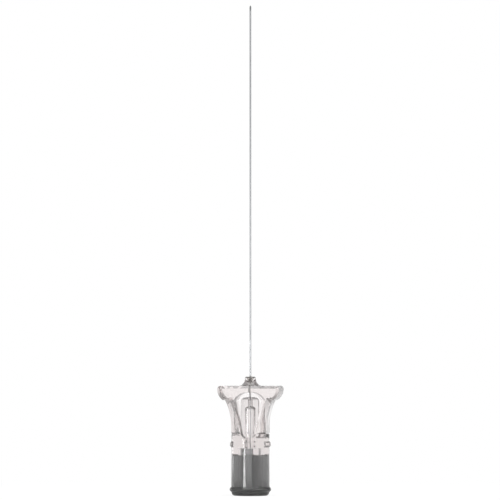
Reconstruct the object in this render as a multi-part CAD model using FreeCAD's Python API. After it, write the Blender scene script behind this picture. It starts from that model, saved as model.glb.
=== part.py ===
# Spinal needle with its stylet in place: a fine steel cannula with a ground tip, bonded into a clear
# winged hub, and a stylet wire in the cannula, held by a smoky grey handle that closes the hub's socket.
# Millimetres. +Z runs along the shaft to the tip, -Y is the side of the bevel and of the handle's tongue,
# X is along the wings. The origin is the centre of the handle's flat end, which the needle stands on.

import math
import os

import FreeCAD
import Part

V = FreeCAD.Vector

# Cannula and stylet wire, 27 gauge
CANNULA_OD = 0.42
CANNULA_ID = 0.26
EXPOSED_LENGTH = 88.0
CANNULA_IN_HUB = 5.8
WIRE_CLEARANCE = 0.02
WIRE_IN_PLUG = 5.0

# Ground tip: one long bevel, and two lancet facets that make the point
BEVEL_LENGTH = 1.365
LANCET_CUT = 0.3
LANCET_SLOPE = 35.5
LANCET_TURN = 30.0

# Conical 6 % socket and the tube round it, with the two lugs that a locking collar would grip
SOCKET_DIAMETER = 4.27
SOCKET_TAPER = 0.06
SOCKET_DEPTH = 9.0
TUBE_OD = 6.0
TUBE_LENGTH = 7.35
LOCK_LUG_SPAN = 7.8
LOCK_LUG_HEIGHT = 0.9
LOCK_LUG_ARC = 50.0

# Handle: flat end, grip bead, thin skirt, tongue and keys, and the plug inside
HANDLE_FLOOR = 1.55
SKIRT_WALL = 0.5
SKIRT_DRAFT = 0.5
BASE_INSET = 0.1
BEAD_PROUD = 0.36
BEAD_THICKNESS = 1.25
BEAD_HEIGHT = 1.5
KEY_WIDTH = 2.5
KEY_DEPTH = 1.0
TONGUE_RISE = 1.6
TONGUE_CORNER = 0.3
PLUG_LENGTH = 8.5
PLUG_TIP_CHAMFER = 0.3

# Clearances between the handle and the hub
LUG_CLEARANCE = 0.1
PLUG_CLEARANCE = 0.04
END_CLEARANCE = 0.75
RIM_CLEARANCE = 0.05
SLOT_CLEARANCE = 0.08
BODY_STEP = 0.03

# Hub: round body, flared grip, winged head and nose
BODY_HEIGHT = 5.0
GRIP_HEIGHT = 8.0
GRIP_WIDTH = 8.3
GRIP_DEPTH = 8.0
GRIP_FLARE = 1.47
GRIP_FLARE_HEIGHT = 6.1
GRIP_CHAMFER = 1.2
HEAD_WIDTH = 14.8
HEAD_DEPTH = 8.2
HEAD_HEIGHT = 3.42
HEAD_LEAN = 1.4
HEAD_CORNER = 0.8
HEAD_CHAMFER = 0.6
HEAD_SCALLOP = 0.6
NOSE_DIAMETER = 2.6
NOSE_HEIGHT = 2.13
NOSE_SWEEP = 1.5
NOSE_EDGE = 0.25

# Pockets in the front and the back of the grip, with the core between them
WEB = 2.4
CORE_DIAMETER = 4.75
CORE_ROOF = 0.7
CORE_EDGE = 0.9
POCKET_FOOT = 3.9
POCKET_FOOT_RADIUS = 1.68
POCKET_TOP_HALF = 3.4
POCKET_ARCH = 2.0
POCKET_DRAFT = 2.0

# Small features on the round body
BODY_LUG_FOOT = 1.85
BODY_LUG_HEIGHT = 1.4
BODY_LUG_PROUD = 0.3
BODY_LUG_ARC = 70.0
PIP_FOOT = 2.95
PIP_HEIGHT = 0.3
PIP_PROUD = 0.14
PIP_ARC = 21.0

# Inside of the hub, from the socket up to the nose
CHAMBER_DIAMETER = 1.7
THROAT_DIAMETER = 0.7
THROAT_LENGTH = 1.4
CANNULA_STAND = 0.2
BORE_CLEARANCE = 0.01
WELL_DEPTH = 3.8
WELL_DIAMETER = 0.62
WELL_MOUTH_DIAMETER = 1.2
WELL_MOUTH_DEPTH = 1.4
MENISCUS = 0.25

# Small edge breaks, and the reach by which a cutting solid passes the face that it opens
EDGE_BREAK = 0.12
REACH = 1.0

# Short cones that stand for one rounded edge of a turned outline
BEND_STEPS = 3

# Radii that follow from the sizes above
cannula_radius = CANNULA_OD / 2
lumen_radius = CANNULA_ID / 2
wire_radius = lumen_radius - WIRE_CLEARANCE
socket_radius = SOCKET_DIAMETER / 2
tube_radius = TUBE_OD / 2
lock_lug_radius = LOCK_LUG_SPAN / 2
skirt_inner = lock_lug_radius + LUG_CLEARANCE
rim_radius = skirt_inner + SKIRT_WALL
body_radius = rim_radius + BODY_STEP
key_inner = rim_radius - KEY_DEPTH

# Heights that follow from the sizes above
mouth_z = HANDLE_FLOOR + END_CLEARANCE
shoulder_z = mouth_z + TUBE_LENGTH
rim_z = shoulder_z - RIM_CLEARANCE
tongue_z = shoulder_z + TONGUE_RISE
plug_tip_z = mouth_z + PLUG_LENGTH
socket_end_z = mouth_z + SOCKET_DEPTH
neck_z = shoulder_z + BODY_HEIGHT
step_z = neck_z + GRIP_HEIGHT
head_top_z = step_z + HEAD_HEIGHT
nose_z = head_top_z + NOSE_HEIGHT
tip_z = nose_z + EXPOSED_LENGTH
cannula_end_z = nose_z - CANNULA_IN_HUB
ceiling_z = cannula_end_z + CANNULA_STAND
core_top_z = ceiling_z + CORE_ROOF
well_foot_z = nose_z - WELL_DEPTH
pocket_centre_z = shoulder_z + POCKET_FOOT + POCKET_FOOT_RADIUS


def line(start, end):
    """Straight edge between two (radius, height) points in the XZ plane."""
    return Part.makeLine(V(start[0], 0, start[1]), V(end[0], 0, end[1]))


def arc(start, middle, end):
    """Circular edge through three (radius, height) points in the XZ plane."""
    return Part.Arc(*(V(x, 0, z) for x, z in (start, middle, end))).toShape()


def polyline(points):
    """Straight edges from each (radius, height) point to the next."""
    return [line(a, b) for a, b in zip(points, points[1:])]


def bend(centre, radius, start, end):
    """Points of a rounded stretch about a centre, from a start to an end angle in degrees, +X being 0."""
    angles = [math.radians(start + (end - start) * step / BEND_STEPS) for step in range(BEND_STEPS + 1)]
    return [(centre[0] + radius * math.cos(a), centre[1] + radius * math.sin(a)) for a in angles]


def turned(points, angle=360.0, start=0.0):
    """Solid swept about the shaft by a closed (radius, height) outline, from a start angle off +X."""
    face = Part.Face(Part.Wire(polyline(points + points[:1])))
    face.rotate(V(), V(0, 0, 1), start)
    return face.revolve(V(), V(0, 0, 1), angle)


def plate(edges, depth):
    """Solid of a closed outline in the XZ plane, as deep along Y on the front as on the back."""
    face = Part.Face(Part.Wire(edges))
    face.translate(V(0, -depth / 2, 0))
    return face.extrude(V(0, depth, 0))


def tangent_arc(upright, free):
    """Arc between two (x, height) points that runs upright at the first."""
    run = free[0] - upright[0]
    rise = free[1] - upright[1]
    radius = (run * run + rise * rise) / (2 * run)
    half = math.atan2(abs(run), abs(rise))
    middle = (
        upright[0] + radius * (1 - math.cos(half)),
        upright[1] + math.copysign(abs(radius) * math.sin(half), rise),
    )
    return arc(upright, middle, free)


def chamfered(shape, size, wanted):
    """Chamfer of the edges for which the test called wanted is true."""
    return shape.makeChamfer(size, [edge for edge in shape.Edges if wanted(edge)])


def rounded(shape, radius, wanted):
    """Fillet of the edges for which the test called wanted is true."""
    return shape.makeFillet(radius, [edge for edge in shape.Edges if wanted(edge)])


def lies_at(edge, height):
    """Whether an edge lies wholly at one height."""
    box = edge.BoundBox
    return abs(box.ZMin - height) < 1e-4 and abs(box.ZMax - height) < 1e-4


def socket_radius_at(height):
    """Radius of the conical socket at a height."""
    return socket_radius - (height - mouth_z) * SOCKET_TAPER / 2


def ground(blank):
    """Blank rod or tube with the tip ground: the long bevel on the -Y side, then the two lancet facets."""
    heel = tip_z - BEVEL_LENGTH
    rise = (BEVEL_LENGTH + LANCET_CUT) / CANNULA_OD
    reach = 2 * cannula_radius
    outline = [
        V(-reach, -reach, heel + (cannula_radius - reach) * rise),
        V(-reach, reach, heel + (cannula_radius + reach) * rise),
        V(-reach, -reach, heel + (cannula_radius + reach) * rise),
    ]
    bevel = Part.Face(Part.makePolygon(outline + outline[:1])).extrude(V(2 * reach, 0, 0))
    tip = blank.cut(bevel)
    slope = math.radians(LANCET_SLOPE)
    turn = math.radians(LANCET_TURN)
    size = 4 * BEVEL_LENGTH
    for side in (-1, 1):
        normal = V(
            side * math.sin(turn) * math.cos(slope),
            -math.cos(turn) * math.cos(slope),
            math.sin(slope),
        )
        facet = Part.makeBox(size, size, size, V(-size / 2, -size / 2, 0))
        tilt = FreeCAD.Rotation(V(0, 0, 1), normal)
        facet.Placement = FreeCAD.Placement(V(0, cannula_radius, tip_z), tilt)
        tip = tip.cut(facet)
    return tip


def mirrored(edges):
    """Edges of a half outline and their mirror images across the YZ plane."""
    return edges + [edge.mirror(V(), V(1, 0, 0)) for edge in edges]


def runs_along_front(edge, half_depth):
    """Whether an edge lies in the front or the back face of a plate."""
    box = edge.BoundBox
    return abs(abs(box.Center.y) - half_depth) < 1e-4 and box.YLength < 1e-4


def make_grip():
    """Grip of the hub: a plate that flares up to the head, its long corners cut off at 45 degrees."""
    half = GRIP_WIDTH / 2
    flare_z = step_z - GRIP_FLARE_HEIGHT
    top_z = step_z + HEAD_SCALLOP + EDGE_BREAK
    radius = (GRIP_FLARE_HEIGHT**2 + GRIP_FLARE**2) / (2 * GRIP_FLARE)
    top = half + radius - math.sqrt(radius**2 - (top_z - flare_z) ** 2)
    side = [
        line((0, neck_z), (half, neck_z)),
        line((half, neck_z), (half, flare_z)),
        tangent_arc((half, flare_z), (top, top_z)),
        line((top, top_z), (0, top_z)),
    ]
    grip = plate(mirrored(side), GRIP_DEPTH)
    grip = chamfered(
        grip,
        GRIP_CHAMFER,
        lambda edge: runs_along_front(edge, GRIP_DEPTH / 2) and edge.BoundBox.ZLength > EDGE_BREAK,
    )
    neck_cone = turned([
        (0, neck_z),
        (body_radius, neck_z),
        (body_radius + HEAD_WIDTH, neck_z + HEAD_WIDTH),
        (0, neck_z + HEAD_WIDTH),
    ])
    return grip.common(neck_cone)


def make_head():
    """Winged head: a plate with leaning sides, rounded upper corners and a scalloped lower edge."""
    half = HEAD_WIDTH / 2
    low = half - HEAD_LEAN
    inner = POCKET_TOP_HALF - 2 * EDGE_BREAK
    shoulder = head_top_z - HEAD_CORNER
    round_off = HEAD_CORNER * (1 - math.sqrt(0.5))
    side = [
        line((0, step_z), (inner, step_z)),
        arc((inner, step_z), ((inner + low) / 2, step_z + HEAD_SCALLOP), (low, step_z)),
        tangent_arc((half, shoulder), (low, step_z)),
        arc((half, shoulder), (half - round_off, head_top_z - round_off), (half - HEAD_CORNER, head_top_z)),
        line((half - HEAD_CORNER, head_top_z), (0, head_top_z)),
    ]
    head = plate(mirrored(side), HEAD_DEPTH)
    return chamfered(
        head,
        HEAD_CHAMFER,
        lambda edge: runs_along_front(edge, HEAD_DEPTH / 2) and on_head_rim(edge.BoundBox),
    )


def on_head_rim(box):
    """Whether a box round an edge of the head is on its sides, its rounded corners or its top."""
    return box.ZMax > step_z + HEAD_SCALLOP + EDGE_BREAK


def pocket_outline(inset, depth):
    """Wire of a grip pocket, smaller by an inset: a round foot, two leaning sides and an arched top."""
    foot = POCKET_FOOT_RADIUS - inset
    corner_x = POCKET_TOP_HALF - inset
    corner_z = step_z - pocket_centre_z
    distance = math.hypot(corner_x, corner_z)
    angle = math.atan2(corner_z, corner_x) - math.acos(foot / distance)
    side_x = foot * math.cos(angle)
    side_z = foot * math.sin(angle)

    def place(x, z):
        return V(x, depth, pocket_centre_z + z)

    return Part.Wire([
        Part.Arc(place(-side_x, side_z), place(0, -foot), place(side_x, side_z)).toShape(),
        Part.makeLine(place(side_x, side_z), place(corner_x, corner_z)),
        Part.Arc(
            place(corner_x, corner_z),
            place(0, corner_z + POCKET_ARCH - inset),
            place(-corner_x, corner_z),
        ).toShape(),
        Part.makeLine(place(-corner_x, corner_z), place(-side_x, side_z)),
    ])


def pocket():
    """Cutting solid of the front pocket, narrower towards the web, with the core left standing in it."""
    outer = body_radius + REACH
    floor = WEB / 2
    spread = (outer - floor) * math.tan(math.radians(POCKET_DRAFT))
    face_share = REACH * math.tan(math.radians(POCKET_DRAFT))
    block = Part.makeLoft(
        [pocket_outline(-face_share, -outer), pocket_outline(spread - face_share, -floor)], True, True
    )
    core_radius = CORE_DIAMETER / 2
    core = turned(
        [(0, shoulder_z), (core_radius, shoulder_z)]
        + bend((core_radius - CORE_EDGE, core_top_z - CORE_EDGE), CORE_EDGE, 0, 90)
        + [(0, core_top_z)]
    )
    return block.cut(core)


def make_nose():
    """Nose that the cannula leaves by, swept out into the head in a hollow curve."""
    radius = NOSE_DIAMETER / 2
    return turned(
        [(0, head_top_z - REACH), (radius + NOSE_SWEEP, head_top_z - REACH)]
        + bend((radius + NOSE_SWEEP, head_top_z + NOSE_SWEEP), NOSE_SWEEP, 270, 180)
        + [(radius, nose_z - NOSE_EDGE), (radius - NOSE_EDGE, nose_z), (0, nose_z)]
    )


def hub_inside():
    """Open space along the hub's axis: socket, domed chamber, throat, cannula bore and adhesive well."""
    bore = cannula_radius + BORE_CLEARANCE
    chamber = CHAMBER_DIAMETER / 2
    throat = THROAT_DIAMETER / 2
    dome_angle = math.acos(throat / chamber)
    dome_z = ceiling_z - THROAT_LENGTH - chamber * math.sin(dome_angle)
    return turned(
        [
            (0, mouth_z - REACH),
            (socket_radius_at(mouth_z - REACH), mouth_z - REACH),
            (socket_radius_at(socket_end_z), socket_end_z),
            (chamber, socket_end_z),
        ]
        + bend((0, dome_z), chamber, 0, math.degrees(dome_angle))
        + [
            (throat, ceiling_z),
            (bore, ceiling_z),
            (bore, well_foot_z),
            (WELL_DIAMETER / 2, well_foot_z),
            (WELL_DIAMETER / 2, nose_z - WELL_MOUTH_DEPTH),
            (WELL_MOUTH_DIAMETER / 2, nose_z),
            (WELL_MOUTH_DIAMETER / 2, nose_z + REACH),
            (0, nose_z + REACH),
        ]
    )


def band(foot, height, proud, span, middle):
    """Low raised band on the round body, with leaning upper and lower faces."""
    slope = min(proud, height / 3)
    low = shoulder_z + foot
    inner = body_radius - REACH
    points = [
        (inner, low),
        (body_radius, low),
        (body_radius + proud, low + slope),
        (body_radius + proud, low + height - slope),
        (body_radius, low + height),
        (inner, low + height),
    ]
    return turned(points, span, middle - span / 2)


def make_hub():
    """Clear hub, one moulding: socket tube, round body, pocketed grip, winged head and nose."""
    tube = turned([
        (0, mouth_z),
        (tube_radius - EDGE_BREAK, mouth_z),
        (tube_radius, mouth_z + EDGE_BREAK),
        (tube_radius, shoulder_z + REACH),
        (0, shoulder_z + REACH),
    ])
    body = turned([
        (0, shoulder_z),
        (body_radius - EDGE_BREAK, shoulder_z),
        (body_radius, shoulder_z + EDGE_BREAK),
        (body_radius, neck_z),
        (0, neck_z),
    ])
    hub = body.fuse([tube, make_grip(), make_head(), make_nose()])
    for side in (0, 180):
        lock_lug = turned(
            [
                (tube_radius - EDGE_BREAK, mouth_z + EDGE_BREAK),
                (lock_lug_radius, mouth_z + EDGE_BREAK),
                (lock_lug_radius, mouth_z + LOCK_LUG_HEIGHT),
                (tube_radius, mouth_z + LOCK_LUG_HEIGHT + (lock_lug_radius - tube_radius) / 2),
                (tube_radius - EDGE_BREAK, mouth_z + LOCK_LUG_HEIGHT + (lock_lug_radius - tube_radius) / 2),
            ],
            LOCK_LUG_ARC,
            side - LOCK_LUG_ARC / 2,
        )
        hub = hub.fuse([lock_lug, band(BODY_LUG_FOOT, BODY_LUG_HEIGHT, BODY_LUG_PROUD, BODY_LUG_ARC, side)])
    hub = hub.fuse(band(PIP_FOOT, PIP_HEIGHT, PIP_PROUD, PIP_ARC, -90))
    front = pocket()
    back = front.copy()
    back.rotate(V(), V(0, 0, 1), 180)
    slot_half = KEY_WIDTH / 2 + SLOT_CLEARANCE
    slot = Part.makeBox(
        2 * slot_half,
        body_radius + REACH - key_inner + SLOT_CLEARANCE,
        TONGUE_RISE + SLOT_CLEARANCE + REACH,
        V(-slot_half, -body_radius - REACH, shoulder_z - REACH),
    )
    return hub.cut([front, back, slot, hub_inside()])


def key(side, top):
    """Key on the inside of the skirt, from the handle's floor up to a height, on the -Y or +Y side."""
    low = HANDLE_FLOOR - EDGE_BREAK
    near = key_inner if side > 0 else -body_radius
    block = Part.makeBox(KEY_WIDTH, body_radius - key_inner, top - low, V(-KEY_WIDTH / 2, near, low))
    return block.common(Part.makeCylinder(rim_radius, top))


def make_handle():
    """Smoky grey handle, one moulding: end rounded up to the bead, skirt with tongue and key, and the plug."""
    draft = (rim_z - BEAD_HEIGHT) * math.tan(math.radians(SKIRT_DRAFT))
    wide = rim_radius + draft
    base = wide - BASE_INSET
    plug_root = socket_radius_at(HANDLE_FLOOR) - PLUG_CLEARANCE
    plug_tip = socket_radius_at(plug_tip_z) - PLUG_CLEARANCE
    half_bead = BEAD_THICKNESS / 2
    corner = BEAD_HEIGHT - half_bead
    bead_radius = (half_bead**2 + BEAD_PROUD**2) / (2 * BEAD_PROUD)
    sweep = math.degrees(math.asin(half_bead / bead_radius))
    handle = turned(
        [(0, 0)]
        + bend((base - corner, corner), corner, -90, 0)
        + bend((wide + BEAD_PROUD - bead_radius, BEAD_HEIGHT), bead_radius, -sweep, sweep)
        + [
            (rim_radius, rim_z - EDGE_BREAK),
            (rim_radius - EDGE_BREAK, rim_z),
            (skirt_inner, rim_z),
            (skirt_inner, HANDLE_FLOOR),
            (plug_root, HANDLE_FLOOR),
            (plug_tip, plug_tip_z - PLUG_TIP_CHAMFER),
            (plug_tip - PLUG_TIP_CHAMFER, plug_tip_z),
            (0, plug_tip_z),
        ]
    )
    tongue = rounded(
        key(-1, tongue_z),
        TONGUE_CORNER,
        lambda edge: lies_at(edge, tongue_z) and edge.BoundBox.XLength < 1e-4,
    )
    handle = handle.fuse([tongue, key(1, rim_z - EDGE_BREAK)])
    wire_hole = Part.makeCylinder(wire_radius, WIRE_IN_PLUG + REACH, V(0, 0, plug_tip_z - WIRE_IN_PLUG))
    return handle.cut(wire_hole)


def make_cannula():
    """Steel tube, from the throat over the hub's chamber to the ground tip."""
    length = tip_z - cannula_end_z
    foot = V(0, 0, cannula_end_z)
    rod = Part.makeCylinder(cannula_radius, length, foot)
    return ground(rod.cut(Part.makeCylinder(lumen_radius, length, foot)))


def make_stylet_wire():
    """Steel wire that fills the cannula, ground with it so that the two bevels are flush."""
    foot_z = plug_tip_z - WIRE_IN_PLUG
    return ground(Part.makeCylinder(wire_radius, tip_z - foot_z, V(0, 0, foot_z)))


def make_adhesive():
    """Adhesive that fills the well in the nose and stands up a little round the cannula."""
    return turned([
        (cannula_radius, well_foot_z),
        (WELL_DIAMETER / 2, well_foot_z),
        (WELL_DIAMETER / 2, nose_z - WELL_MOUTH_DEPTH),
        (WELL_MOUTH_DIAMETER / 2, nose_z),
        (cannula_radius, nose_z + MENISCUS),
    ])


PARTS = {
    "hub": make_hub,
    "cannula": make_cannula,
    "adhesive": make_adhesive,
    "stylet_wire": make_stylet_wire,
    "stylet_handle": make_handle,
}

os.makedirs("parts", exist_ok=True)
for name, make in PARTS.items():
    shape = make()
    shape.exportStep(f"parts/{name}.step")
    state = "valid" if shape.isValid() else "NOT VALID"
    print(name, state, len(shape.Solids), "solid", round(shape.Volume, 3), "mm3")
print("overall height", round(tip_z, 3))
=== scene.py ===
"""Looks of a spinal needle that stands on its stylet handle.

A steel needle, a clear winged hub and a smoky grey handle, on a pale floor in soft light.
"""

import logging
import math
from dataclasses import dataclass
from enum import Enum
from typing import Any, Sequence

import bmesh
import bpy
from bmesh.types import BMesh
from mathutils import Matrix, Vector


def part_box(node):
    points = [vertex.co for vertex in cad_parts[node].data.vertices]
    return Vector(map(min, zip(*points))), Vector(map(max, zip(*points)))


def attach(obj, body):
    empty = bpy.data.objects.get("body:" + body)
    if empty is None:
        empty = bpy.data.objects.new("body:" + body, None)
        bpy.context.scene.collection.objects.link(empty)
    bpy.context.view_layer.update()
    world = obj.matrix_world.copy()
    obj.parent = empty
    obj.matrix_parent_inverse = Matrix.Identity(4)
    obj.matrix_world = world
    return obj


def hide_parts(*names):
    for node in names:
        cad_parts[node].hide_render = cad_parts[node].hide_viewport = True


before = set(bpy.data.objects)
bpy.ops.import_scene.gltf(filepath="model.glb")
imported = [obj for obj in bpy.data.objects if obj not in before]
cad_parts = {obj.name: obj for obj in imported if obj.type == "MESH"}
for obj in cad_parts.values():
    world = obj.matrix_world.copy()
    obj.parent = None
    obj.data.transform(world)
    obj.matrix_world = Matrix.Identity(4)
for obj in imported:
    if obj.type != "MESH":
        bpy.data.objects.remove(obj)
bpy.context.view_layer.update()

LOG = logging.getLogger("needle")

MM = 0.001
WHITE = (1.0, 1.0, 1.0, 1.0)

# Points of a turned outline that lie nearer than this, in millimetres, are one point
SAME_POINT = 1e-5

# Nearly all values of a noise texture lie between these two
NOISE_LOW = 0.3
NOISE_HIGH = 0.7


class Body(Enum):
    """The two bodies that slide apart."""

    NEEDLE = "needle"
    STYLET = "stylet"


class Slot(Enum):
    """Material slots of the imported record."""

    HUB = "clear_plastic"
    TUBE = "steel_tube"
    RESIN = "adhesive"
    WIRE = "steel_wire"
    HANDLE = "smoky_plastic"


# Helpers for colours and nodes


def linear(code: str) -> tuple[float, float, float, float]:
    """Turn an sRGB hex colour into linear RGBA.

    Args:
        code: Colour as "#rrggbb".

    Returns:
        Red, green, blue and an alpha of 1.
    """
    parts = [int(code[i : i + 2], 16) / 255 for i in (1, 3, 5)]
    red, green, blue = (p / 12.92 if p <= 0.04045 else ((p + 0.055) / 1.055) ** 2.4 for p in parts)
    return (red, green, blue, 1.0)


def add_node(
    tree: bpy.types.NodeTree, kind: str, inputs: dict[Any, Any] | None = None, **settings: Any
) -> bpy.types.Node:
    """Add a shader node with its settings, values and links.

    Args:
        tree: Node tree that the node goes into.
        kind: Blender's name of the node type.
        inputs: Value or output socket for each input, by name or number.
        **settings: Properties of the node itself.

    Returns:
        The new node.
    """
    node = tree.nodes.new(kind)
    for name, value in settings.items():
        setattr(node, name, value)
    for name, value in (inputs or {}).items():
        if isinstance(value, bpy.types.NodeSocket):
            tree.links.new(value, node.inputs[name])
        else:
            node.inputs[name].default_value = value
    return node


def new_material(name: str) -> bpy.types.Material:
    """Make a material with an empty node tree.

    Args:
        name: Name of the real material.

    Returns:
        The new material.
    """
    material = bpy.data.materials.new(name)
    material.use_nodes = True
    material.node_tree.nodes.clear()
    return material


# Helpers for meshes


def mesh_object(name: str, bm: BMesh, scale: float = MM) -> bpy.types.Object:
    """Turn a bmesh into an object at the origin and free the bmesh.

    Args:
        name: Name of the piece.
        bm: Mesh in millimetres, or in metres with a scale of 1.
        scale: Factor that brings it to metres.

    Returns:
        The linked object.
    """
    bmesh.ops.scale(bm, vec=(scale,) * 3, verts=bm.verts)
    bmesh.ops.recalc_face_normals(bm, faces=bm.faces)
    mesh = bpy.data.meshes.new(name)
    bm.to_mesh(mesh)
    bm.free()
    thing = bpy.data.objects.new(name, mesh)
    bpy.context.scene.collection.objects.link(thing)
    return thing


def bake_modifiers(thing: bpy.types.Object) -> None:
    """Replace an object's mesh by the one that its modifiers give, and drop them.

    Args:
        thing: Object with modifiers.
    """
    graph = bpy.context.evaluated_depsgraph_get()
    mesh = bpy.data.meshes.new_from_object(thing.evaluated_get(graph))
    mesh.name = thing.name
    thing.modifiers.clear()
    thing.data = mesh


def combine(thing: bpy.types.Object, other: bpy.types.Object, operation: str) -> None:
    """Apply an exact boolean with another object, which is used up.

    Args:
        thing: Object that keeps the result.
        other: Object that is joined, cut or intersected.
        operation: UNION, DIFFERENCE or INTERSECT.
    """
    modifier = thing.modifiers.new(operation.lower(), "BOOLEAN")
    modifier.operation = operation
    modifier.solver = "EXACT"
    modifier.object = other
    bake_modifiers(thing)
    bpy.data.objects.remove(other)


def ease(bm: BMesh, geometry: Sequence[Any], size: float, segments: int, affect: str) -> None:
    """Round some corners or edges of a bmesh.

    Args:
        bm: Mesh that holds them.
        geometry: The vertices or edges.
        size: Length that the rounding takes of each side, in the mesh's own unit.
        segments: Steps of each rounding.
        affect: VERTICES or EDGES.
    """
    bmesh.ops.bevel(
        bm,
        geom=geometry,
        offset=size,
        offset_type="OFFSET",
        segments=segments,
        profile=0.5,
        affect=affect,
        clamp_overlap=True,
        material=-1,
    )


def round_edges(
    thing: bpy.types.Object, width: float, segments: int, degrees: float, miter: str = "MITER_SHARP"
) -> None:
    """Round every edge above an angle, as a mould leaves it.

    Args:
        thing: Object that is rounded.
        width: Width of the rounding, in millimetres.
        segments: Steps of the rounding.
        degrees: Angle above which an edge is rounded.
        miter: How the outer corners meet.
    """
    bevel = thing.modifiers.new("mould_edges", "BEVEL")
    bevel.width = width * MM
    bevel.segments = segments
    bevel.limit_method = "ANGLE"
    bevel.angle_limit = math.radians(degrees)
    bevel.miter_outer = miter
    bake_modifiers(thing)


def shade_by_angle(mesh: bpy.types.Mesh, degrees: float) -> None:
    """Shade a mesh smooth, and leave its edges above an angle sharp.

    Args:
        mesh: Mesh that is shaded.
        degrees: Angle from which an edge is sharp.
    """
    mesh.shade_smooth()
    bm = bmesh.new()
    bm.from_mesh(mesh)
    for edge in bm.edges:
        edge.smooth = len(edge.link_faces) == 2 and edge.calc_face_angle(0.0) < math.radians(degrees)
    bm.to_mesh(mesh)
    bm.free()


def even_shading(thing: bpy.types.Object) -> None:
    """Let the large faces lead the shading, so that walls stay flat and straight beside rounded edges.

    Args:
        thing: Object that is already shaded by angle.
    """
    modifier = thing.modifiers.new("even_shading", "WEIGHTED_NORMAL")
    modifier.mode = "FACE_AREA"
    modifier.keep_sharp = True
    bake_modifiers(thing)


@dataclass(frozen=True)
class Corner:
    """Corner of a turned outline, in millimetres, with the length that its rounding takes of each side."""

    radius: float
    height: float
    ease: float = 0.0


def turned(corners: Sequence[Corner], steps: int, closed: bool = False, segments: int = 6) -> BMesh:
    """Spin an outline about the needle's axis.

    Args:
        corners: Outline from its lowest to its last corner.
        steps: Faces round the full turn.
        closed: Whether the outline runs back to its first corner, as round a bore.
        segments: Steps of each rounding.

    Returns:
        A closed mesh in millimetres.
    """
    bm = bmesh.new()
    verts = [bm.verts.new((corner.radius, 0.0, corner.height)) for corner in corners]
    pairs = list(zip(verts, verts[1:]))
    if closed:
        pairs.append((verts[-1], verts[0]))
    for pair in pairs:
        bm.edges.new(pair)
    for corner, vert in zip(corners, verts):
        if corner.ease > 0:
            ease(bm, [vert], corner.ease, segments, "VERTICES")
    bmesh.ops.spin(
        bm,
        geom=bm.verts[:] + bm.edges[:],
        cent=(0.0, 0.0, 0.0),
        axis=(0.0, 0.0, 1.0),
        dvec=(0.0, 0.0, 0.0),
        angle=math.tau,
        steps=steps,
        use_merge=True,
        use_duplicate=False,
    )
    bmesh.ops.remove_doubles(bm, verts=bm.verts, dist=SAME_POINT)
    return bm


def block(size: Vector, middle: Vector) -> BMesh:
    """Make a box.

    Args:
        size: Its lengths along X, Y and Z, in millimetres.
        middle: Its middle, in millimetres.

    Returns:
        A closed mesh in millimetres.
    """
    bm = bmesh.new()
    matrix = Matrix.Translation(middle) @ Matrix.Diagonal((*size, 1.0))
    bmesh.ops.create_cube(bm, size=1.0, matrix=matrix)
    return bm


# Finishes


@dataclass(frozen=True)
class MouldedPlastic:
    """Polycarbonate or resin with a polished skin, as a mould or its own flow leaves it.

    The eye sees sharp reflections, a faint wave where it flowed, and the tint only where it is thick.
    """

    name: str
    surface: str
    tint: str
    density: float
    haze: float = 0.0
    gloss: float = 0.03
    dull: float = 0.07
    ior: float = 1.585
    flow_mm: float = 2.6
    flow_depth_mm: float = 0.012

    def build(self) -> bpy.types.Material:
        """Make the material.

        Returns:
            Clear or tinted plastic with a volume that absorbs.
        """
        material = new_material(self.name)
        tree = material.node_tree
        place = add_node(tree, "ShaderNodeTexCoord").outputs["Object"]
        flow = add_node(
            tree,
            "ShaderNodeTexNoise",
            {"Vector": place, "Scale": 1 / (self.flow_mm * MM), "Detail": 2.0, "Roughness": 0.4},
        )
        bump = add_node(
            tree,
            "ShaderNodeBump",
            {"Height": flow.outputs["Fac"], "Strength": 1.0, "Distance": self.flow_depth_mm * MM},
        )
        rough = add_node(
            tree,
            "ShaderNodeMapRange",
            {
                "Value": flow.outputs["Fac"],
                "From Min": NOISE_LOW,
                "From Max": NOISE_HIGH,
                "To Min": self.gloss,
                "To Max": self.dull,
            },
        )
        skin = add_node(
            tree,
            "ShaderNodeBsdfPrincipled",
            {
                "Base Color": linear(self.surface),
                "Roughness": rough.outputs["Result"],
                "IOR": self.ior,
                "Transmission Weight": 1.0 - self.haze,
                "Normal": bump.outputs["Normal"],
            },
        )
        inside = add_node(
            tree, "ShaderNodeVolumeAbsorption", {"Color": linear(self.tint), "Density": self.density}
        )
        add_node(
            tree,
            "ShaderNodeOutputMaterial",
            {"Surface": skin.outputs["BSDF"], "Volume": inside.outputs["Volume"]},
        )
        return material


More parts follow.
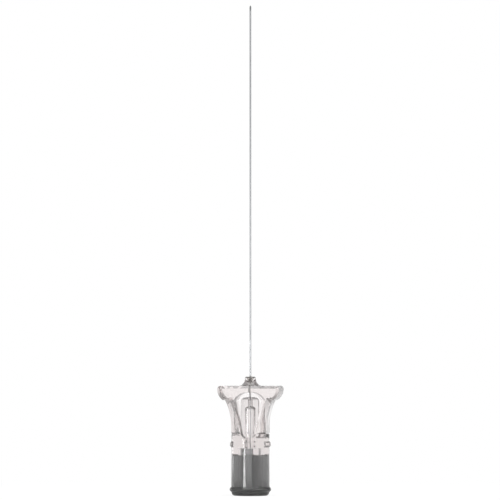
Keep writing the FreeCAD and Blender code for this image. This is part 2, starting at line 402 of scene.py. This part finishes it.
@dataclass(frozen=True)
class DrawnSteel:
    """Stainless steel, drawn and polished lengthwise, or ground across on the bevels.

    The eye sees a satin grey with fine lines along the grain. Real ones are too fine to show, so they are
    drawn ten times as coarse.
    """

    name: str
    dark: str
    light: str
    grain_mm: tuple[float, float, float]
    rough_low: float
    rough_high: float
    grain_depth_mm: float = 0.002
    grain_strength: float = 0.4

    def build(self) -> bpy.types.Material:
        """Make the material.

        Returns:
            Metal with lines along its grain.
        """
        material = new_material(self.name)
        tree = material.node_tree
        place = add_node(tree, "ShaderNodeTexCoord").outputs["Object"]
        grain = add_node(
            tree,
            "ShaderNodeMapping",
            {"Vector": place, "Scale": tuple(1 / (size * MM) for size in self.grain_mm)},
        )
        lines = add_node(
            tree,
            "ShaderNodeTexNoise",
            {"Vector": grain.outputs["Vector"], "Scale": 1.0, "Detail": 3.0, "Roughness": 0.6},
        )
        colour = add_node(tree, "ShaderNodeValToRGB", {"Fac": lines.outputs["Fac"]})
        low, high = colour.color_ramp.elements
        low.position = NOISE_LOW
        low.color = linear(self.dark)
        high.position = NOISE_HIGH
        high.color = linear(self.light)
        rough = add_node(
            tree,
            "ShaderNodeMapRange",
            {"Value": lines.outputs["Fac"], "To Min": self.rough_low, "To Max": self.rough_high},
        )
        bump = add_node(
            tree,
            "ShaderNodeBump",
            {
                "Height": lines.outputs["Fac"],
                "Strength": self.grain_strength,
                "Distance": self.grain_depth_mm * MM,
            },
        )
        metal = add_node(
            tree,
            "ShaderNodeBsdfPrincipled",
            {
                "Base Color": colour.outputs["Color"],
                "Metallic": 1.0,
                "Roughness": rough.outputs["Result"],
                "Normal": bump.outputs["Normal"],
            },
        )
        add_node(tree, "ShaderNodeOutputMaterial", {"Surface": metal.outputs["BSDF"]})
        return material


# Injection moulded in a polished tool: clear as glass, and a faint warm grey through its thick places
CLEAR = MouldedPlastic(
    "clear_polycarbonate",
    surface="#f8f6f6",
    tint="#e1d8d6",
    density=95.0,
    haze=0.02,
    gloss=0.02,
    dull=0.05,
    flow_depth_mm=0.004,
)

# Injection moulded with a smoke dye: see-through in the skirt, dark grey in the bead and the flat end
SMOKY = MouldedPlastic(
    "smoky_grey_polycarbonate",
    surface="#f4f4f4",
    tint="#4d4d4d",
    density=1650.0,
    haze=0.05,
    flow_depth_mm=0.0015,
)

# Cured in place: a little milky, and yellowish against the clear hub
RESIN = MouldedPlastic(
    "cured_clear_resin", surface="#efece6", tint="#c9b9a4", density=300.0, haze=0.3, flow_mm=0.5
)

# Drawn lengthwise: an even satin grey
DRAWN = DrawnSteel(
    "drawn_stainless_steel",
    "#a2a4a7",
    "#cbccce",
    grain_mm=(0.05, 0.05, 2.5),
    rough_low=0.22,
    rough_high=0.38,
)

# Ground across the tip: brighter than the drawn tube, with lines along X
GROUND = DrawnSteel(
    "ground_stainless_steel",
    "#b9bcbe",
    "#e2e4e5",
    grain_mm=(0.3, 0.02, 0.02),
    rough_low=0.18,
    rough_high=0.3,
)


# Pieces of the needle and the stylet


def settle(
    thing: bpy.types.Object,
    materials: Sequence[bpy.types.Material],
    body: Body,
    node: str,
) -> None:
    """Dress a finished piece and let it stand for its CAD node.

    Args:
        thing: The piece, finished and in place.
        materials: Its materials, in the order of their numbers on its faces.
        body: Body that it rides on.
        node: CAD node that it replaces.
    """
    for material in materials:
        thing.data.materials.append(material)
    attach(thing, body.value)
    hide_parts(node)


@dataclass
class GroundTip:
    """Tip ground on tube and wire together: a long bevel and two lancet facets, in millimetres, degrees."""

    tip_z: float
    radius: float = 0.21
    bevel: float = 1.365
    lancet_cut: float = 0.3
    slope: float = 35.5
    turn: float = 30.0
    cutter: float = 6.0
    on_plane: float = 1e-3
    same_way: float = 0.99

    def planes(self) -> list[tuple[Vector, Vector]]:
        """Work out the three ground planes.

        Returns:
            A point and an outward normal for each plane.
        """
        rise = (self.bevel + self.lancet_cut) / (2 * self.radius)
        heel = Vector((0.0, -self.radius, self.tip_z - self.bevel))
        found = [(heel, Vector((0.0, -rise, 1.0)).normalized())]
        slope = math.radians(self.slope)
        turn = math.radians(self.turn)
        point = Vector((0.0, self.radius, self.tip_z))
        for side in (-1, 1):
            across = side * math.sin(turn) * math.cos(slope)
            found.append((point, Vector((across, -math.cos(turn) * math.cos(slope), math.sin(slope)))))
        return found

    def is_ground(self, face: bmesh.types.BMFace) -> bool:
        """Tell whether a face lies in one of the ground planes.

        Args:
            face: Face of the finished piece, in metres.

        Returns:
            True for a ground face.
        """
        middle = face.calc_center_median() / MM
        return any(
            abs((middle - point).dot(normal)) < self.on_plane and face.normal.dot(normal) > self.same_way
            for point, normal in self.planes()
        )

    def grind(self, thing: bpy.types.Object) -> None:
        """Cut a rod or tube along the planes, and give the ground faces the second material.

        Args:
            thing: Closed blank, longer than the finished tip, in metres.
        """
        for point, normal in self.planes():
            cutter = block(Vector((self.cutter,) * 3), Vector((0.0, 0.0, self.cutter / 2)))
            turn = normal.to_track_quat("Z", "Y").to_matrix().to_4x4()
            bmesh.ops.transform(cutter, matrix=Matrix.Translation(point) @ turn, verts=cutter.verts)
            combine(thing, mesh_object("grinding_cut", cutter), "DIFFERENCE")
        bm = bmesh.new()
        bm.from_mesh(thing.data)
        for face in bm.faces:
            if self.is_ground(face):
                face.material_index = 1
        bm.to_mesh(thing.data)
        bm.free()


@dataclass
class Shaft:
    """Steel tube of the needle, or the wire inside it, in millimetres; an inner radius of 0 makes a wire."""

    name: str
    node: str
    body: Body
    slot: Slot
    outer: float
    inner: float
    tip: GroundTip
    steps: int = 48
    edge: float = 0.015
    edge_segments: int = 3
    overrun: float = 1.0
    sharp_degrees: float = 25.0

    def build(self) -> bpy.types.Object:
        """Turn the blank, grind its tip and dress it.

        Returns:
            The finished piece.
        """
        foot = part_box(self.node)[0].z / MM
        top = self.tip.tip_z + self.overrun
        if self.inner > 0:
            corners = [
                Corner(self.outer, foot, self.edge),
                Corner(self.outer, top),
                Corner(self.inner, top),
                Corner(self.inner, foot, self.edge),
            ]
        else:
            corners = [
                Corner(0.0, foot),
                Corner(self.outer, foot, self.edge),
                Corner(self.outer, top),
                Corner(0.0, top),
            ]
        blank = turned(corners, self.steps, closed=self.inner > 0, segments=self.edge_segments)
        thing = mesh_object(self.name, blank)
        self.tip.grind(thing)
        shade_by_angle(thing.data, self.sharp_degrees)
        settle(thing, [DRAWN.build(), GROUND.build()], self.body, self.node)
        return thing


@dataclass
class AdhesiveBead:
    """Resin in the well of the nose, drawn up the tube by its surface tension, in millimetres."""

    shaft: float = 0.2
    well: float = 0.32
    mouth: float = 0.6
    foot_z: float = 24.4
    mouth_z: float = 26.8
    top_z: float = 28.2
    foot_ease: float = 0.06
    mouth_ease: float = 0.2
    rim_drop: float = 0.02
    rim_ease: float = 0.04
    hollow_out: float = 0.06
    hollow_up: float = 0.03
    hollow_ease: float = 0.18
    meniscus: float = 0.25
    steps: int = 48
    sharp_degrees: float = 60.0

    def build(self) -> bpy.types.Object:
        """Turn the bead with its hollow meniscus.

        Returns:
            The finished piece.
        """
        corners = [
            Corner(self.shaft, self.foot_z),
            Corner(self.well, self.foot_z, self.foot_ease),
            Corner(self.well, self.mouth_z, self.mouth_ease),
            Corner(self.mouth, self.top_z - self.rim_drop, self.rim_ease),
            Corner(self.shaft + self.hollow_out, self.top_z + self.hollow_up, self.hollow_ease),
            Corner(self.shaft, self.top_z + self.meniscus),
        ]
        thing = mesh_object("adhesive_bead", turned(corners, self.steps, closed=True))
        shade_by_angle(thing.data, self.sharp_degrees)
        settle(thing, [RESIN.build()], Body.NEEDLE, "adhesive")
        return thing


@dataclass
class Hub:
    """Clear hub in one moulding, its edges rounded as a mould leaves them, in millimetres and degrees."""

    merge: float = 0.002
    flat_degrees: float = 1.0
    edge_degrees: float = 24.0
    edge_round: float = 0.2
    segments: int = 4
    lug_reach: float = 4.75
    lug_top: float = 13.5
    lug_round: float = 0.27
    lug_degrees: float = 45.0
    sharp_degrees: float = 35.0

    def round_lugs(self, bm: BMesh) -> None:
        """Round the outer edges of the two side lugs, which a mould leaves softer than the rest.

        Args:
            bm: The hub's mesh, in metres.
        """
        outer = [
            edge
            for edge in bm.edges
            if all(v.co.xy.length > self.lug_reach * MM and v.co.z < self.lug_top * MM for v in edge.verts)
            and edge.calc_face_angle(0.0) > math.radians(self.lug_degrees)
        ]
        ease(bm, outer, self.lug_round * MM, self.segments, "EDGES")

    def build(self) -> bpy.types.Object:
        """Take the solid's own shape, clean its flats and round its edges.

        Returns:
            The finished piece.
        """
        bm = bmesh.new()
        bm.from_mesh(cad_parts["hub"].data)
        bmesh.ops.remove_doubles(bm, verts=bm.verts, dist=self.merge * MM)
        bmesh.ops.dissolve_limit(
            bm, angle_limit=math.radians(self.flat_degrees), verts=bm.verts, edges=bm.edges
        )
        self.round_lugs(bm)
        thing = mesh_object("hub_moulding", bm, scale=1.0)
        round_edges(thing, self.edge_round, self.segments, self.edge_degrees, miter="MITER_ARC")
        shade_by_angle(thing.data, self.sharp_degrees)
        even_shading(thing)
        settle(thing, [CLEAR.build()], Body.NEEDLE, "hub")
        return thing


@dataclass
class Handle:
    """Smoky grey handle with its bead, tongue, key and plug, in millimetres and degrees."""

    base: float = 4.47
    base_ease: float = 0.83
    wide: float = 4.57
    rim: float = 4.5
    rim_z: float = 9.6
    rim_ease: float = 0.12
    skirt: float = 4.0
    skirt_ease: float = 0.1
    floor_z: float = 1.55
    floor_ease: float = 0.25
    bead_z: float = 1.5
    bead_half: float = 0.625
    bead_proud: float = 0.36
    bead_share: float = 0.96
    bead_foot_ease: float = 0.03
    bead_top_ease: float = 0.04
    plug_root: float = 2.117
    plug_root_ease: float = 0.2
    plug_tip: float = 1.84
    plug_tip_ease: float = 0.35
    plug_z: float = 9.5
    tongue_z: float = 11.25
    key_width: float = 2.5
    key_depth: float = 1.0
    key_corner: float = 0.35
    key_segments: int = 8
    key_sink: float = 0.1
    key_drop: float = 0.12
    blank_reach: float = 1.5
    blank_height: float = 20.0
    tolerance: float = 0.01
    steps: int = 128
    edge_round: float = 0.12
    edge_segments: int = 3
    edge_degrees: float = 40.0
    sharp_degrees: float = 35.0

    def turned_body(self) -> bpy.types.Object:
        """Turn the flat end, the bead, the skirt and the plug in one outline.

        Returns:
            The body as an object.
        """
        peak = self.bead_proud / (math.sqrt(2) - 1)
        run = math.hypot(peak, self.bead_half) * self.bead_share
        corners = [
            Corner(0.0, 0.0),
            Corner(self.base, 0.0, self.base_ease),
            Corner(self.base, self.bead_z - self.bead_half, self.bead_foot_ease),
            Corner(self.wide + peak, self.bead_z, run),
            Corner(self.wide, self.bead_z + self.bead_half, self.bead_top_ease),
            Corner(self.rim, self.rim_z, self.rim_ease),
            Corner(self.skirt, self.rim_z, self.skirt_ease),
            Corner(self.skirt, self.floor_z, self.floor_ease),
            Corner(self.plug_root, self.floor_z, self.plug_root_ease),
            Corner(self.plug_tip, self.plug_z, self.plug_tip_ease),
            Corner(0.0, self.plug_z),
        ]
        return mesh_object("handle_moulding", turned(corners, self.steps))

    def wall_key(self, side: int, top: float) -> bpy.types.Object:
        """Cut a key, its upper corners rounded, to the round of the skirt.

        Args:
            side: -1 for the tongue's side, 1 for the far side.
            top: Height of its upper end.

        Returns:
            The key as an object of its own.
        """
        low = self.floor_z - self.key_sink
        inner = self.rim - self.key_depth
        middle = Vector((0.0, side * (inner + self.blank_reach / 2), (low + top) / 2))
        bm = block(Vector((self.key_width, self.blank_reach, top - low)), middle)
        upper = [
            edge
            for edge in bm.edges
            if all(v.co.z > top - self.tolerance for v in edge.verts)
            and abs(edge.verts[0].co.x - edge.verts[1].co.x) < self.tolerance
        ]
        ease(bm, upper, self.key_corner, self.key_segments, "EDGES")
        key = mesh_object("key", bm)
        outline = [
            Corner(0.0, 0.0),
            Corner(self.rim, 0.0),
            Corner(self.rim, self.blank_height),
            Corner(0.0, self.blank_height),
        ]
        combine(key, mesh_object("skirt_round", turned(outline, self.steps)), "INTERSECT")
        return key

    def build(self) -> bpy.types.Object:
        """Join the turned body with its tongue and key, and round their edges.

        Returns:
            The finished piece.
        """
        thing = self.turned_body()
        combine(thing, self.wall_key(-1, self.tongue_z), "UNION")
        combine(thing, self.wall_key(1, self.rim_z - self.key_drop), "UNION")
        round_edges(thing, self.edge_round, self.edge_segments, self.edge_degrees)
        shade_by_angle(thing.data, self.sharp_degrees)
        even_shading(thing)
        settle(thing, [SMOKY.build()], Body.STYLET, "stylet_handle")
        return thing


# Studio


@dataclass(frozen=True)
class SoftBox:
    """Rectangular soft lamp, in metres, degrees and watts; azimuth 0 is in front, and plastic mirrors it."""

    name: str
    azimuth: float
    elevation: float
    distance: float
    width: float
    height: float
    power: float
    aim_z: float = 0.058

    def build(self) -> None:
        """Hang the lamp so that it faces the needle's axis."""
        data = bpy.data.lights.new(self.name, "AREA")
        data.shape = "RECTANGLE"
        data.size = self.width
        data.size_y = self.height
        data.energy = self.power
        lamp = bpy.data.objects.new(self.name, data)
        lamp.visible_camera = False
        lamp.visible_transmission = False
        bpy.context.scene.collection.objects.link(lamp)
        azimuth = math.radians(self.azimuth)
        elevation = math.radians(self.elevation)
        level = math.cos(elevation)
        away = Vector((math.sin(azimuth) * level, -math.cos(azimuth) * level, math.sin(elevation)))
        lamp.location = Vector((0.0, 0.0, self.aim_z)) + away * self.distance
        lamp.rotation_euler = away.to_track_quat("Z", "Y").to_euler()


# The two strips and the low panel are only as tall as the handle needs, so that the steel stays an even grey
SOFT_BOXES = (
    SoftBox("key_strip", -26.0, 0.0, 0.08, width=0.016, height=0.02, power=0.0115, aim_z=0.0101),
    SoftBox("rim_strip", -122.0, -10.0, 0.3, width=0.053, height=0.06, power=0.022),
    SoftBox("low_panel", 0.0, -10.0, 0.3, width=0.19, height=0.07, power=0.09),
    SoftBox("front_panel", 3.0, 4.0, 2.6, width=1.3, height=1.3, power=3.0),
    SoftBox("fill", 60.0, 25.0, 1.1, width=0.7, height=0.7, power=4.0),
    SoftBox("top", 0.0, 80.0, 1.0, width=0.8, height=0.8, power=6.0),
)


@dataclass
class Studio:
    """Pale floor and white surroundings with soft lamps, in metres and degrees.

    The camera sees white. Gloss and clear plastic see white panels with grey gaps between them, which fade
    towards the ceiling, and a glowing floor with painted shade near the needle. The levels are shares of
    white.
    """

    floor_size: float = 4.0
    floor_colour: str = "#f4f4f3"
    shadow_share: float = 0.75
    shadow_near: float = 0.01
    shadow_far: float = 0.12
    # Painted shade: the floor's glow that gloss and clear plastic see is dimmed to this level near the
    # needle
    near_shade_level: float = 0.45
    near_end: float = 0.045
    bright_from: float = 0.08
    room_colour: str = "#fafafa"
    room_level: float = 0.75
    facing: float = 9.4
    panels: int = 3
    panel_level: float = 0.97
    gap_low: float = -1.0
    gap_high: float = -0.45
    gap_level: float = 0.3
    ceiling_low: float = 0.02
    ceiling_high: float = 0.35
    ceiling_level: float = 0.42

    def build(self) -> None:
        """Make the floor, the world and the lamps."""
        self.make_floor()
        self.make_world()
        for lamp in SOFT_BOXES:
            lamp.build()

    def floor_levels(self, tree: bpy.types.NodeTree) -> tuple[bpy.types.NodeSocket, bpy.types.NodeSocket]:
        """Add the floor's two fades with the distance from the needle; the second one is painted shade near
        the needle.

        Args:
            tree: Node tree of the floor's material.

        Returns:
            The share of plain white that the camera sees, and the level that gloss and plastic see.
        """
        place = add_node(tree, "ShaderNodeTexCoord").outputs["Object"]
        away = add_node(tree, "ShaderNodeVectorMath", {0: place}, operation="LENGTH").outputs["Value"]
        plain = add_node(
            tree,
            "ShaderNodeMapRange",
            {
                "Value": away,
                "From Min": self.shadow_near,
                "From Max": self.shadow_far,
                "To Min": self.shadow_share,
                "To Max": 1.0,
            },
            interpolation_type="SMOOTHSTEP",
        )
        # Painted shade: the glow that gloss and clear plastic see on the floor is darker near the needle,
        # and full white further out
        bright = add_node(
            tree,
            "ShaderNodeMapRange",
            {
                "Value": away,
                "From Min": self.near_end,
                "From Max": self.bright_from,
                "To Min": self.near_shade_level,
                "To Max": self.panel_level,
            },
            interpolation_type="SMOOTHSTEP",
        )
        return plain.outputs["Result"], bright.outputs["Result"]

    def make_floor(self) -> None:
        """Lay the floor that the needle stands on."""
        bm = bmesh.new()
        bmesh.ops.create_grid(bm, x_segments=1, y_segments=1, size=self.floor_size / 2)
        floor = mesh_object("floor", bm, scale=1.0)
        material = new_material("pale_floor")
        tree = material.node_tree
        plain, bright = self.floor_levels(tree)
        path = add_node(tree, "ShaderNodeLightPath").outputs
        bent = add_node(
            tree,
            "ShaderNodeMath",
            {0: path["Is Glossy Ray"], 1: path["Is Transmission Ray"]},
            operation="MAXIMUM",
        )
        seen = add_node(tree, "ShaderNodeMath", {0: path["Is Camera Ray"], 1: plain}, operation="MULTIPLY")
        share = add_node(
            tree, "ShaderNodeMath", {0: seen.outputs[0], 1: bent.outputs[0]}, operation="MAXIMUM"
        )
        level = add_node(tree, "ShaderNodeMath", {0: path["Is Camera Ray"], 1: bright}, operation="MAXIMUM")
        matte = add_node(tree, "ShaderNodeBsdfDiffuse", {"Color": linear(self.floor_colour)})
        glow = add_node(tree, "ShaderNodeEmission", {"Color": WHITE, "Strength": level.outputs[0]})
        mixed = add_node(
            tree, "ShaderNodeMixShader", {0: share.outputs[0], 1: matte.outputs[0], 2: glow.outputs[0]}
        )
        add_node(tree, "ShaderNodeOutputMaterial", {"Surface": mixed.outputs[0]})
        floor.data.materials.append(material)

    def surroundings(self, tree: bpy.types.NodeTree) -> bpy.types.NodeSocket:
        """Add the panels, the gaps between them and the fade towards the ceiling.

        Args:
            tree: Node tree of the world.

        Returns:
            The level that gloss and clear plastic see in each direction.
        """
        way = add_node(tree, "ShaderNodeTexCoord").outputs["Generated"]
        parts = add_node(tree, "ShaderNodeSeparateXYZ", {"Vector": way}).outputs
        turn = add_node(tree, "ShaderNodeMath", {0: parts["X"], 1: parts["Y"]}, operation="ARCTAN2")
        count = add_node(
            tree,
            "ShaderNodeMath",
            {0: turn.outputs[0], 1: float(self.panels), 2: self.panels * math.radians(self.facing)},
            operation="MULTIPLY_ADD",
        )
        wave = add_node(tree, "ShaderNodeMath", {0: count.outputs[0]}, operation="COSINE")
        panel = add_node(
            tree,
            "ShaderNodeMapRange",
            {
                "Value": wave.outputs[0],
                "From Min": self.gap_low,
                "From Max": self.gap_high,
                "To Min": self.gap_level,
                "To Max": self.panel_level,
            },
            interpolation_type="SMOOTHSTEP",
        )
        height = add_node(tree, "ShaderNodeMath", {0: parts["Z"]}, operation="ABSOLUTE")
        ceiling = add_node(
            tree,
            "ShaderNodeMapRange",
            {
                "Value": height.outputs[0],
                "From Min": self.ceiling_low,
                "From Max": self.ceiling_high,
                "To Min": 1.0,
                "To Max": self.ceiling_level,
            },
            interpolation_type="SMOOTHSTEP",
        )
        room = add_node(
            tree,
            "ShaderNodeMath",
            {0: panel.outputs["Result"], 1: ceiling.outputs["Result"]},
            operation="MULTIPLY",
        )
        return room.outputs[0]

    def make_world(self) -> None:
        """Surround the needle with white, and with grey gaps that only its gloss and clear plastic show."""
        world = bpy.data.worlds.new("studio")
        bpy.context.scene.world = world
        world.use_nodes = True
        tree = world.node_tree
        tree.nodes.clear()
        room = self.surroundings(tree)
        path = add_node(tree, "ShaderNodeLightPath").outputs
        level = add_node(tree, "ShaderNodeMath", {0: room, 1: path["Is Camera Ray"]}, operation="MAXIMUM")
        first = add_node(
            tree,
            "ShaderNodeMath",
            {0: path["Is Camera Ray"], 1: path["Is Glossy Ray"]},
            operation="ADD",
        )
        seen = add_node(
            tree,
            "ShaderNodeMath",
            {0: first.outputs[0], 1: path["Is Transmission Ray"]},
            operation="ADD",
            use_clamp=True,
        )
        soft = add_node(
            tree, "ShaderNodeBackground", {"Color": linear(self.room_colour), "Strength": self.room_level}
        )
        white = add_node(tree, "ShaderNodeBackground", {"Color": WHITE, "Strength": level.outputs[0]})
        mixed = add_node(
            tree, "ShaderNodeMixShader", {0: seen.outputs[0], 1: soft.outputs[0], 2: white.outputs[0]}
        )
        add_node(tree, "ShaderNodeOutputWorld", {"Surface": mixed.outputs[0]})


@dataclass
class ProductCamera:
    """Long lens straight at the standing needle, turned a little to its right, in metres and degrees."""

    azimuth: float = 9.4
    distance: float = 2.0
    frame_height: float = 0.1185
    middle_z: float = 0.05823
    aside: float = -0.000095
    sensor: float = 36.0
    nearest: float = 0.1
    farthest: float = 20.0

    def build(self) -> None:
        """Make the camera and use it for the scene."""
        data = bpy.data.cameras.new("product_camera")
        data.sensor_width = self.sensor
        data.lens = self.sensor * self.distance / self.frame_height
        data.clip_start = self.nearest
        data.clip_end = self.farthest
        camera = bpy.data.objects.new("product_camera", data)
        bpy.context.scene.collection.objects.link(camera)
        azimuth = math.radians(self.azimuth)
        back = Vector((math.sin(azimuth), -math.cos(azimuth), 0.0))
        right = Vector((math.cos(azimuth), math.sin(azimuth), 0.0))
        camera.location = Vector((0.0, 0.0, self.middle_z)) + back * self.distance + right * self.aside
        camera.rotation_euler = back.to_track_quat("Z", "Y").to_euler()
        bpy.context.scene.camera = camera


def main() -> None:
    """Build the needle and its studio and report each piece."""
    logging.basicConfig(level=logging.INFO, format="%(name)s: %(message)s")
    bpy.context.scene.view_settings.view_transform = "Standard"
    ProductCamera().build()
    Studio().build()
    tip = GroundTip(tip_z=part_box("cannula")[1].z / MM)
    makers = (
        Shaft("cannula_tube", "cannula", Body.NEEDLE, Slot.TUBE, outer=0.21, inner=0.13, tip=tip),
        Shaft("stylet_rod", "stylet_wire", Body.STYLET, Slot.WIRE, outer=0.11, inner=0.0, tip=tip),
        AdhesiveBead(),
        Hub(),
        Handle(),
    )
    for maker in makers:
        piece = maker.build()
        LOG.info("%s: %d faces", piece.name, len(piece.data.polygons))


if __name__ == "__main__":
    main()
